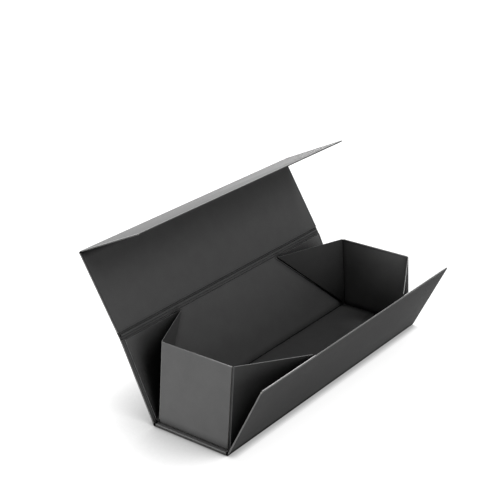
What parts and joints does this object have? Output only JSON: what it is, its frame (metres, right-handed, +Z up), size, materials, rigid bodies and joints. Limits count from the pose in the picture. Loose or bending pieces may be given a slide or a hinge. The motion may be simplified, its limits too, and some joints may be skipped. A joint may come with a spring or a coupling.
{
  "type": "wine gift box",
  "caption": "Fold-flat rigid gift box for one wine bottle: leaning board walls with web gussets, a hinged lid and a magnet closing flap.",
  "frame": {"origin": "centre of the base's underside, on the surface that the box stands on", "axes": "+X along the box to the right end, -Y out of the front wall, +Y out of the back wall that carries the lid, +Z up"},
  "size_m": [0.34, 0.2176, 0.199],
  "materials": {
    "outer_paper": "charcoal black dyed paper, matt",
    "inner_paper": "charcoal black dyed lining paper, matt",
    "greyboard": "grey bookbinding board, cut edges",
    "black_card": "solid black card",
    "magnet": "nickel-plated block magnets",
    "steel_plate": "thin steel counter plates"
  },
  "bodies": {
    "base": {"base_wrap": "outer_paper", "base_board": "greyboard", "base_lining": "inner_paper", "tray_floor_board": "greyboard", "tray_floor_cover": "outer_paper"},
    "front_wall": {"front_wall_wrap": "outer_paper", "front_wall_board": "greyboard", "front_wall_lining": "inner_paper", "front_wall_plates": "steel_plate", "left_front_anchor_card": "black_card", "left_front_anchor_cover": "outer_paper", "right_front_anchor_card": "black_card", "right_front_anchor_cover": "outer_paper"},
    "back_wall": {"back_wall_wrap": "outer_paper", "back_wall_board": "greyboard", "back_wall_lining": "inner_paper", "left_back_anchor_card": "black_card", "left_back_anchor_cover": "outer_paper", "right_back_anchor_card": "black_card", "right_back_anchor_cover": "outer_paper"},
    "lid_hinge": {"lid_hinge_wrap": "outer_paper", "lid_hinge_lining": "inner_paper"},
    "lid": {"lid_wrap": "outer_paper", "lid_board": "greyboard", "lid_lining": "inner_paper"},
    "flap_hinge": {"flap_hinge_wrap": "outer_paper", "flap_hinge_lining": "inner_paper"},
    "flap": {"flap_wrap": "outer_paper", "flap_board": "greyboard", "flap_lining": "inner_paper", "flap_magnets": "magnet"},
    "left_end": {"left_end_wall_cover": "outer_paper", "left_end_wall_board": "greyboard", "left_end_wall_lining": "inner_paper"},
    "left_front_gusset": {"left_front_gusset_cover": "outer_paper", "left_front_gusset_card": "black_card"},
    "left_back_gusset": {"left_back_gusset_cover": "outer_paper", "left_back_gusset_card": "black_card"},
    "right_end": {"right_end_wall_cover": "outer_paper", "right_end_wall_board": "greyboard", "right_end_wall_lining": "inner_paper"},
    "right_front_gusset": {"right_front_gusset_cover": "outer_paper", "right_front_gusset_card": "black_card"},
    "right_back_gusset": {"right_back_gusset_cover": "outer_paper", "right_back_gusset_card": "black_card"}
  },
  "joints": [
    {"name": "wall_fold", "type": "hinge", "parent": "base", "child": "front_wall", "pos_m": [0, -0.0454, 0], "axis": [1, 0, 0], "range_deg": [-26, 9]},
    {"name": "back_wall_fold", "type": "hinge", "parent": "base", "child": "back_wall", "pos_m": [0, 0.0454, 0], "axis": [-1, 0, 0], "range_deg": [-26, 9]},
    {"name": "left_end_fold", "type": "hinge", "parent": "base", "child": "left_end", "pos_m": [-0.1654, 0, 0.0039], "axis": [0, 1, 0], "range_deg": [-5.2, 1.8]},
    {"name": "left_front_gusset_fold", "type": "hinge", "parent": "left_end", "child": "left_front_gusset", "pos_m": [-0.1654, -0.0426, 0.0039], "axis": [-0.0906, 0, -0.9959], "range_deg": [-27.04, 9.36]},
    {"name": "left_back_gusset_fold", "type": "hinge", "parent": "left_end", "child": "left_back_gusset", "pos_m": [-0.1654, 0.0426, 0.0039], "axis": [0.0906, 0, 0.9959], "range_deg": [-27.04, 9.36]},
    {"name": "right_end_fold", "type": "hinge", "parent": "base", "child": "right_end", "pos_m": [0.1654, 0, 0.0039], "axis": [0, -1, 0], "range_deg": [-5.2, 1.8]},
    {"name": "right_front_gusset_fold", "type": "hinge", "parent": "right_end", "child": "right_front_gusset", "pos_m": [0.1654, -0.0426, 0.0039], "axis": [-0.0906, 0, 0.9959], "range_deg": [-27.04, 9.36]},
    {"name": "right_back_gusset_fold", "type": "hinge", "parent": "right_end", "child": "right_back_gusset", "pos_m": [0.1654, 0.0426, 0.0039], "axis": [0.0906, 0, -0.9959], "range_deg": [-27.04, 9.36]},
    {"name": "lid_crease", "type": "hinge", "parent": "back_wall", "child": "lid_hinge", "pos_m": [0, 0.08555, 0.08233], "axis": [-1, 0, 0], "range_deg": [-95.5, 33.06]},
    {"name": "lid_lift", "type": "hinge", "parent": "lid_hinge", "child": "lid", "pos_m": [0, 0.08764, 0.08574], "axis": [-1, 0, 0], "range_deg": [0, 80]},
    {"name": "flap_crease", "type": "hinge", "parent": "lid", "child": "flap_hinge", "pos_m": [0, 0.13335, 0.16033], "axis": [1, 0, 0], "range_deg": [-26, 9]},
    {"name": "flap_fold", "type": "hinge", "parent": "flap_hinge", "child": "flap", "pos_m": [0, 0.13144, 0.16264], "axis": [-1, 0, 0], "range_deg": [-20, 90]}
  ],
  "couplings": [
    {"joint": "back_wall_fold", "follows": "wall_fold", "ratio": 1},
    {"joint": "left_end_fold", "follows": "wall_fold", "ratio": 0.2},
    {"joint": "left_front_gusset_fold", "follows": "wall_fold", "ratio": 1.04},
    {"joint": "left_back_gusset_fold", "follows": "wall_fold", "ratio": 1.04},
    {"joint": "right_end_fold", "follows": "wall_fold", "ratio": 0.2},
    {"joint": "right_front_gusset_fold", "follows": "wall_fold", "ratio": 1.04},
    {"joint": "right_back_gusset_fold", "follows": "wall_fold", "ratio": 1.04},
    {"joint": "lid_crease", "follows": "wall_fold", "ratio": 3.6731},
    {"joint": "flap_crease", "follows": "wall_fold", "ratio": 1}
  ]
}
